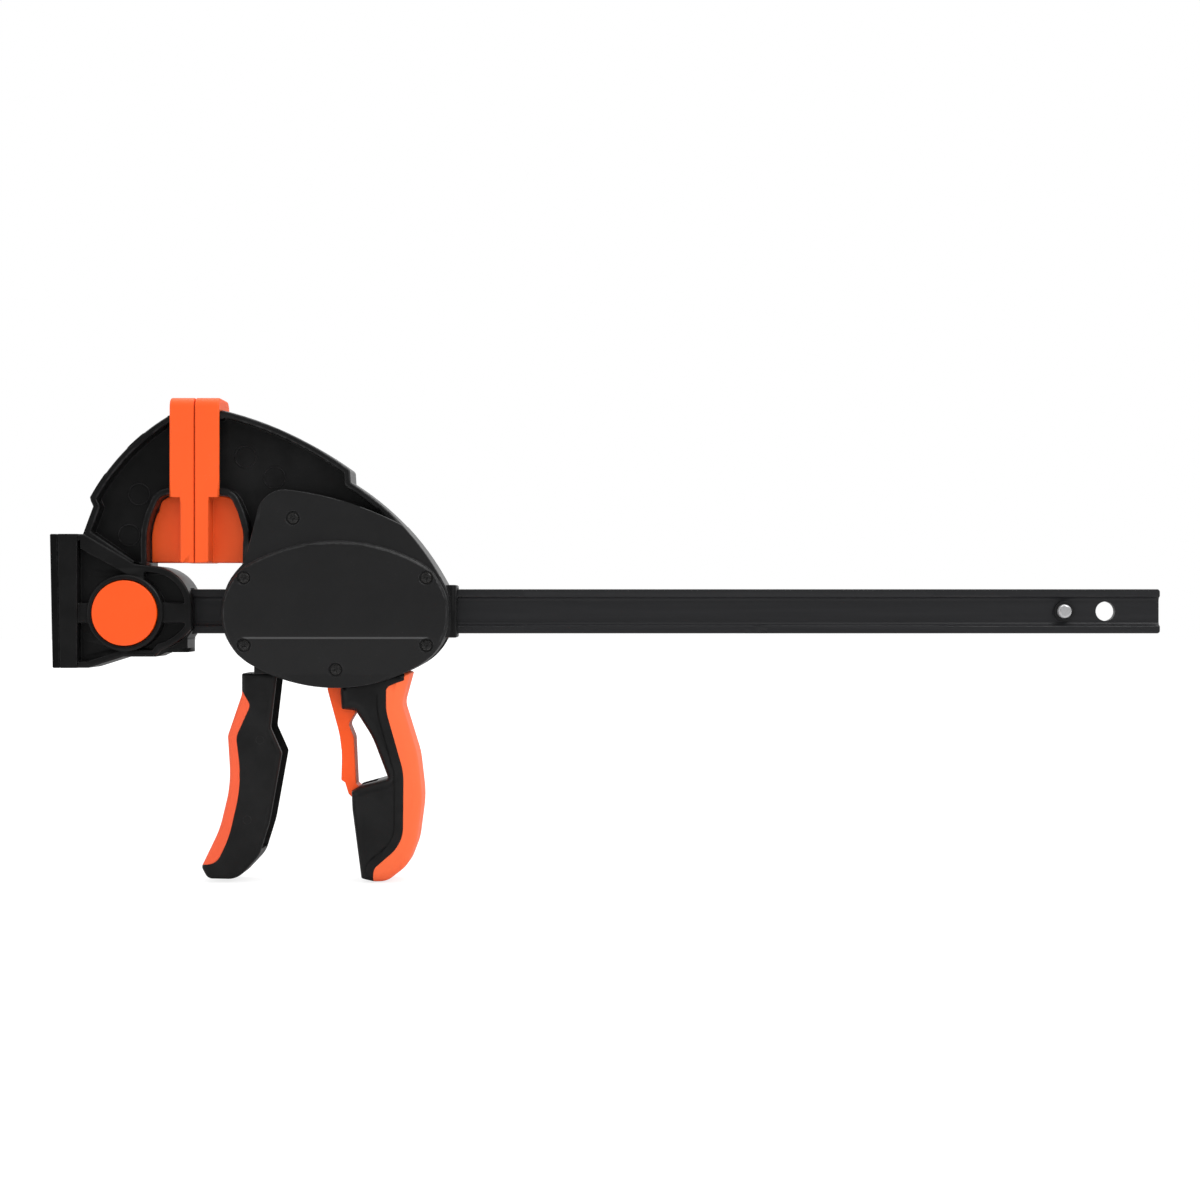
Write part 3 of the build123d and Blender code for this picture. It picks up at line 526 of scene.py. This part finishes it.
def rounded_copy(node, radius, rim=None):
    """A node's solid with its edges rounded, and an arm's rims by another radius.

    Rim is how far out those rims are, and their radius. Where rounding makes a fault, it starts
    again without the edges there.
    """
    start = bmesh.new()
    start.from_mesh(nodes[node].data)
    surface = BVHTree.FromBMesh(start)
    bmesh.ops.remove_doubles(start, verts=start.verts, dist=weld)
    low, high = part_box(node)
    axes, spacing = cuts.get(node, ("X", 8.0))
    cut_across(start, low, high, axes, spacing * mm)
    bmesh.ops.dissolve_limit(
        start, angle_limit=flat_turn, verts=start.verts, edges=start.edges, delimit={"SEAM"})
    widest = max(radius, rim[1]) if rim else radius
    faults = []
    for attempt in range(most_tries):
        shape, rounded_faces = rounded_shape(start, faults, radius, rim)
        keep_on_surface(shape, surface, 0.5 * widest, low, high)
        found = find_faults(shape, surface, 0.6 * widest)
        if not found or attempt == most_tries - 1:
            break
        faults += found
        shape.free()
    mark_edges(shape, rounded_faces)
    mesh = bpy.data.meshes.new(node + "_finished")
    shape.to_mesh(mesh)
    shape.free()
    start.free()
    mesh.shade_smooth()
    mesh.set_sharp_from_angle(angle=shading_turn)
    piece = add_object(node + "_finished", mesh)
    weighted = piece.modifiers.new("even_shading", "WEIGHTED_NORMAL")
    weighted.keep_sharp = True
    weighted.weight = 100
    return dress(piece, node)


# the axes that each piece is cut across before its edges are rounded, and how far apart, in mm
cuts = {
    "bar": ("X", 5.5), "fixed_jaw": ("Z", 4.0), "jaw_body": ("X", 6.0), "lever": ("Z", 8.0),
    "housing_cover": ("XZ", 12.0), "fixed_jaw_pad": ("XZ", 12.0), "moving_jaw_pad": ("XZ", 12.0),
}
# the radius of each piece's edges, in mm
edge_rounding = {
    "bar": 0.4, "stop_pin": 0.2, "fixed_jaw": 0.5, "fixed_jaw_pad": 0.8, "end_pad": 0.6,
    "push_button": 0.3, "lock_clip": 0.1, "lock_pin": 0.2, "jaw_body": 0.5, "housing_cover": 0.5,
    "moving_jaw_pad": 0.8, "grip_overmould": 0.4, "lever": 0.5, "lever_overmould": 0.4,
    "brake_plate": 0.3, "drive_plates": 0.3, "release_trigger": 0.5, "lever_pin": 0.3,
    "trigger_pin": 0.2,
}
arm_half_width = 12.5 * mm
arm_rims = {"fixed_jaw": (arm_half_width, 1.1 * mm), "jaw_body": (arm_half_width, 1.1 * mm)}
for node, radius in edge_rounding.items():
    rounded_copy(node, radius * mm, arm_rims.get(node))

# ---- springs, screws and mould marks: shapes that follow a rule ----


class Pattern(Tree):
    """A Geometry Nodes tree with named sizes, and the plain mesh that it makes."""

    kinds = {float: "NodeSocketFloat", int: "NodeSocketInt", tuple: "NodeSocketVector"}

    def __init__(self, name, sizes):
        super().__init__(bpy.data.node_groups.new(name, "GeometryNodeTree"))
        self.sizes = sizes
        sockets = self.tree.interface
        sockets.new_socket("Geometry", in_out="INPUT", socket_type="NodeSocketGeometry")
        for key, value in sizes.items():
            sockets.new_socket(key, in_out="INPUT", socket_type=self.kinds[type(value)])
        sockets.new_socket("Geometry", in_out="OUTPUT", socket_type="NodeSocketGeometry")
        self.inputs = self.tree.nodes.new("NodeGroupInput")

    def given(self, name):
        """One of the tree's named sizes, or the points that it runs on."""
        return Value(self, self.inputs.outputs[name])

    def made_mesh(self, name, last, material, points=()):
        """Ends the tree, runs it on some points and keeps what it makes as a plain mesh object."""
        real = self.node("GeometryNodeRealizeInstances", None, {0: last})
        smooth = self.node("GeometryNodeSetShadeSmooth", None, {0: real})
        dressed = self.node("GeometryNodeSetMaterial", None, {0: smooth, "Material": material})
        result = self.tree.nodes.new("NodeGroupOutput")
        self.feed(result.inputs["Geometry"], dressed)
        start = bpy.data.meshes.new(name + "_places")
        start.from_pydata(points, [], [])
        piece = add_object(name, start)
        maker = piece.modifiers.new(self.tree.name, "NODES")
        maker.node_group = self.tree
        for item in self.tree.interface.items_tree:
            if item.in_out == "INPUT" and item.name in self.sizes:
                maker[item.identifier] = self.sizes[item.name]
        bpy.context.view_layer.update()
        seen = piece.evaluated_get(bpy.context.evaluated_depsgraph_get())
        plain = bpy.data.meshes.new_from_object(seen)
        piece.modifiers.remove(maker)
        piece.data = plain
        return piece


steps_per_turn = 28
closing = 0.65


def coil_spring(node, axis, wire, turns):
    """A coil spring as long and as wide as its solid, along X (0) or Y (1), closer at its ends."""
    low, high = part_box(node)
    across = 1 - axis
    length = high[axis] - low[axis]
    start = [(a + b) / 2 for a, b in zip(low, high)]
    start[axis] = low[axis]
    sizes = {
        "Turns": float(turns), "Length": length, "Wire": wire,
        "Radius": (high[across] - low[across] - wire) / 2,
        "Steps": turns * steps_per_turn, "Start": tuple(start),
        "Turn": (0.0, 0.0, axis * math.pi / 2),
    }
    coil = Pattern(node + "_coil", sizes)
    line = coil.node("GeometryNodeCurvePrimitiveLine")
    values = {"Curve": line, "Count": coil.given("Steps")}
    steps = coil.node("GeometryNodeResampleCurve", None, values)
    along = coil.node("GeometryNodeSplineParameter", output="Factor")
    angle = along * coil.given("Turns") * (2 * math.pi)
    eased = (1.0 - closing) * along + closing * along.ramp(0.0, 1.0)
    values = {
        "X": coil.given("Wire") * 0.5 + eased * (coil.given("Length") - coil.given("Wire")),
        "Y": coil.given("Radius") * angle.cosine(),
        "Z": coil.given("Radius") * angle.sine(),
    }
    place = coil.node("ShaderNodeCombineXYZ", None, values)
    wound = coil.node("GeometryNodeSetPosition", None, {"Geometry": steps, "Position": place})
    radius = coil.given("Wire") * 0.5
    values = {"Resolution": 10, "Radius": radius}
    section = coil.node("GeometryNodeCurvePrimitiveCircle", None, values)
    values = {"Curve": wound, "Profile Curve": section, "Fill Caps": True}
    tube = coil.node("GeometryNodeCurveToMesh", None, values)
    values = {"Geometry": tube, "Translation": coil.given("Start"), "Rotation": coil.given("Turn")}
    put = coil.node("GeometryNodeTransform", None, values)
    piece = coil.made_mesh(node + "_wound", put, finishes["spring_steel"])
    return dress(piece, node)


def shorten(coil, axis):
    """Gives a spring a mesh of its own."""
    along = Vector()
    along[axis] = 1.0
    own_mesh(coil)


def solid_boxes(mesh):
    """The lowest and highest corner of each separate solid in a mesh."""
    shape = bmesh.new()
    shape.from_mesh(mesh)
    bmesh.ops.remove_doubles(shape, verts=shape.verts, dist=0.01 * mm)
    left = set(shape.verts)
    boxes = []
    while left:
        reached = [left.pop()]
        places = []
        while reached:
            vertex = reached.pop()
            places.append(vertex.co.copy())
            for edge in vertex.link_edges:
                other = edge.other_vert(vertex)
                if other in left:
                    left.remove(other)
                    reached.append(other)
        low = Vector([min(p[i] for p in places) for i in range(3)])
        high = Vector([max(p[i] for p in places) for i in range(3)])
        boxes.append((low, high))
    shape.free()
    return sorted(boxes, key=lambda box: (box[0].z, box[0].x))


screw_head = 2.5 * mm
screw_head_height = 1.1 * mm
screw_shank = 1.5 * mm
recess_reach = 1.6 * mm
recess_half_width = 0.34 * mm
recess_depth = 0.75 * mm
recess_taper = 0.55
dome_height = 0.75 * screw_head_height
rubbed = 0.8
sheltered = 0.1
quarter_turn = 1.57


def recess_at(x, z):
    """How deep the cross recess is at a place on the head. It gets shallower to its ends."""
    deepest = 0.0
    for along, across in ((abs(x), abs(z)), (abs(z), abs(x))):
        if along < recess_reach and across < recess_half_width:
            depth = recess_depth * (1.0 - recess_taper * along / recess_reach)
            deepest = max(deepest, depth)
    return deepest


def screw_mesh(length):
    """A pan-head screw with a cross recess, its head's top at the origin, looking along -Y."""
    steps = 48
    turns = [math.radians(turn) for turn in range(0, 91, 5)]
    round_over = [(screw_head * math.sin(a), dome_height * (1 - math.cos(a))) for a in turns]
    rings = round_over + [(screw_head, screw_head_height), (screw_shank, screw_head_height),
                          (screw_shank, length), (0.0, length)]
    dented_rings = len(round_over) - 3
    shape = bmesh.new()
    layer = shape.verts.layers.float.new("edge")
    rows = []
    for ring, (radius, depth) in enumerate(rings):
        row = []
        for step in range(steps if radius > 0 else 1):
            angle = 2 * math.pi * step / steps
            x, z = radius * math.cos(angle), radius * math.sin(angle)
            dent = recess_at(x, z) if ring < dented_rings else 0.0
            vertex = shape.verts.new((x, depth + dent, z))
            on_recess_edge = 0 < dent < 0.4 * recess_depth
            on_rim = abs(radius - screw_head) < 0.2 * mm
            vertex[layer] = rubbed if on_recess_edge or on_rim else sheltered
            row.append(vertex)
        rows.append(row)
    for inner, outer in zip(rows, rows[1:]):
        for step in range(steps):
            after = (step + 1) % steps
            corners = [inner[step % len(inner)], inner[after % len(inner)],
                       outer[after % len(outer)], outer[step % len(outer)]]
            shape.faces.new(dict.fromkeys(corners))
    bmesh.ops.recalc_face_normals(shape, faces=shape.faces)
    mesh = bpy.data.meshes.new("screw")
    shape.to_mesh(mesh)
    shape.free()
    return mesh


def cover_screws():
    """The same screw set at each seat in the cover, each stopped at its own angle."""
    node = "cover_screws"
    boxes = solid_boxes(nodes[node].data)
    seats = [((low.x + high.x) / 2, low.y, (low.z + high.z) / 2) for low, high in boxes]
    pattern_screw = add_object("screw", screw_mesh(boxes[0][1].y - boxes[0][0].y))
    row = Pattern("screws_in_seats", {"Seed": 7})
    screw = row.node("GeometryNodeObjectInfo", None, {"Object": pattern_screw}, output="Geometry")
    values = {"Max": quarter_turn, "Seed": row.given("Seed")}
    turned = row.node("FunctionNodeRandomValue", {"data_type": "FLOAT"}, values, output="Value")
    spin = row.node("ShaderNodeCombineXYZ", None, {"Y": turned})
    values = {"Points": row.given("Geometry"), "Instance": screw, "Rotation": spin}
    placed = row.node("GeometryNodeInstanceOnPoints", None, values)
    piece = row.made_mesh("cover_screws_turned_in", placed, finishes[slot_of[node]], seats)
    bpy.data.objects.remove(pattern_screw)
    return dress(piece, node)


def mould_rings(node, ring, line, half_width, places):
    """The fine rings that the mould's ejector pins leave on both sides of a moulding.

    Ring is a ring's radius, line is the radius of its bead, and places are the rings' middles in
    mm. Half width is how far out the moulding's sides are.
    """
    points = [(x * mm, side * half_width, z * mm) for x, z in places for side in (-1, 1)]
    marks = Pattern(node + "_rings", {"Ring": ring, "Line": line})
    values = {"Resolution": 40, "Radius": marks.given("Ring")}
    circle = marks.node("GeometryNodeCurvePrimitiveCircle", None, values)
    values = {"Resolution": 6, "Radius": marks.given("Line")}
    section = marks.node("GeometryNodeCurvePrimitiveCircle", None, values)
    values = {"Curve": circle, "Profile Curve": section}
    bead = marks.node("GeometryNodeCurveToMesh", None, values)
    facing_out = (math.pi / 2, 0.0, 0.0)
    values = {"Points": marks.given("Geometry"), "Instance": bead, "Rotation": facing_out}
    placed = marks.node("GeometryNodeInstanceOnPoints", None, values)
    piece = marks.made_mesh(node + "_ejector_rings", placed, mark_finish, points)
    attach(piece, body_of[node])


along_x, along_y = 0, 1
drive_coil = coil_spring("drive_spring", along_x, 1.6 * mm, 5)
coil_spring("brake_spring", along_x, 1.6 * mm, 5)
button_coil = coil_spring("button_spring", along_y, 0.9 * mm, 3)
shorten(drive_coil, along_x)
shorten(button_coil, along_y)
cover_screws()

mark_finish = moulded_black("ejector_mark_nylon", (0.013, 0.013, 0.0135), 0.34, shine=0.5)
lever_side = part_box("lever")[1].y - 0.08 * mm
arm_side = 3.2 * mm
mould_rings("lever", 2.0 * mm, 0.16 * mm, lever_side, ((32.2, -128.4), (25.9, -167.9)))
mould_rings("fixed_jaw", 5.3 * mm, 0.3 * mm, arm_side, ((-29.5, -6.5), (-34.5, -26.9)))
mould_rings("jaw_body", 5.3 * mm, 0.3 * mm, arm_side, ((23.5, 12.1), (38.0, 1.7)))

# ---- floor, light and camera ----

floor_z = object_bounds()[0].z - 0.5 * mm
floor_centre = (0.2, 0.0, floor_z)


def make_floor():
    """A plain pale floor that is white to the eye and still takes the clamp's shadow.

    A glow that only the eye sees adds to its colour, so the colour itself is darker to the eye.
    """
    shape = bmesh.new()
    bmesh.ops.create_grid(shape, x_segments=1, y_segments=1, size=6.0)
    bmesh.ops.translate(shape, verts=shape.verts, vec=floor_centre)
    mesh = bpy.data.meshes.new("floor")
    shape.to_mesh(mesh)
    shape.free()
    floor = add_object("floor", mesh)
    pale = Finish("pale_floor")
    seen = pale.node("ShaderNodeLightPath", output="Is Camera Ray")
    direct = seen.larger(pale.node("ShaderNodeLightPath", output="Is Glossy Ray"))
    as_lit, as_seen = (0.9, 0.9, 0.9), (0.3, 0.3, 0.3)
    tone = pale.blend(direct, as_lit, as_seen)
    pale.set(Base_Color=tone, Roughness=0.9, Specular_IOR_Level=0.0)
    glow = pale.tree.nodes.new("ShaderNodeEmission")
    ends = {0: pale.place, 1: floor_centre}
    off_centre = pale.node("ShaderNodeVectorMath", {"operation": "DISTANCE"}, ends, output="Value")
    pale.feed(glow.inputs["Strength"], seen * (0.8 + 0.2 * off_centre.ramp(0.35, 1.6)))
    both = pale.tree.nodes.new("ShaderNodeAddShader")
    pale.tree.links.new(pale.shader.outputs[0], both.inputs[0])
    pale.tree.links.new(glow.outputs[0], both.inputs[1])
    pale.tree.links.new(both.outputs[0], pale.tree.nodes["Material Output"].inputs["Surface"])
    mesh.materials.append(pale.material)


def make_world():
    """A white studio that reflects white from behind and above, and dark from the front.

    Reflected light and soft light have strengths of their own.
    """
    world = bpy.data.worlds.new("studio")
    bpy.context.scene.world = world
    world.use_nodes = True
    sky = Tree(world.node_tree)
    background = world.node_tree.nodes["Background"]
    direction = sky.node("ShaderNodeTexCoord", output="Generated")
    back = sky.node("ShaderNodeSeparateXYZ", None, {0: direction}, output="Y")
    up = sky.node("ShaderNodeSeparateXYZ", None, {0: direction}, output="Z")
    reflected = 0.01 + 0.9 * back.ramp(-0.35, 0.5) + 0.4 * up.ramp(0.2, 0.9)
    soft = 0.48 + 0.62 * up.ramp(-0.3, 0.7)
    camera = sky.node("ShaderNodeLightPath", output="Is Camera Ray")
    glossy = sky.node("ShaderNodeLightPath", output="Is Glossy Ray")
    mirror = glossy.larger(sky.node("ShaderNodeLightPath", output="Is Transmission Ray"))
    strength = camera + (1 - camera) * (mirror * reflected + (1 - mirror) * soft)
    sky.feed(background.inputs["Strength"], strength)
    background.inputs["Color"].default_value = (1.0, 1.0, 1.0, 1.0)


def make_softbox(name, place, target, width, height, power):
    """A rectangular lamp that faces a target. Sizes are in metres and power in watts."""
    lamp = bpy.data.lights.new(name, "AREA")
    lamp.shape = "RECTANGLE"
    lamp.size = width
    lamp.size_y = height
    lamp.energy = power
    box = bpy.data.objects.new(name, lamp)
    bpy.context.scene.collection.objects.link(box)
    box.location = place
    box.rotation_mode = "QUATERNION"
    box.rotation_quaternion = (Vector(target) - Vector(place)).to_track_quat("-Z", "Y")


view_distance = 1.0
view_width = 0.6
view_centre = Vector((0.2001, 0.0, -0.05928))


def make_camera():
    """A level camera that looks along Y and shows view_width at the clamp's middle plane."""
    lens = bpy.data.cameras.new("camera")
    lens.sensor_width = 36.0
    lens.lens = lens.sensor_width * view_distance / view_width
    lens.clip_start = 0.05
    lens.clip_end = 50.0
    camera = bpy.data.objects.new("camera", lens)
    bpy.context.scene.collection.objects.link(camera)
    camera.location = view_centre + Vector((0.0, -view_distance, 0.0))
    camera.rotation_euler = (math.radians(90.0), 0.0, 0.0)
    bpy.context.scene.camera = camera


make_floor()
make_world()
make_softbox("top_softbox", (0.25, 0.2, 1.1), (0.2, 0.0, -0.05), 1.2, 0.7, 8.0)
make_softbox("key_softbox", (1.1, -0.75, 1.0), (0.15, 0.0, -0.06), 0.7, 0.7, 6.0)
make_softbox("left_softbox", (-1.2, -0.7, 0.3), (0.15, 0.0, -0.06), 0.6, 0.8, 1.5)
make_camera()
bpy.context.scene.view_settings.view_transform = "Standard"
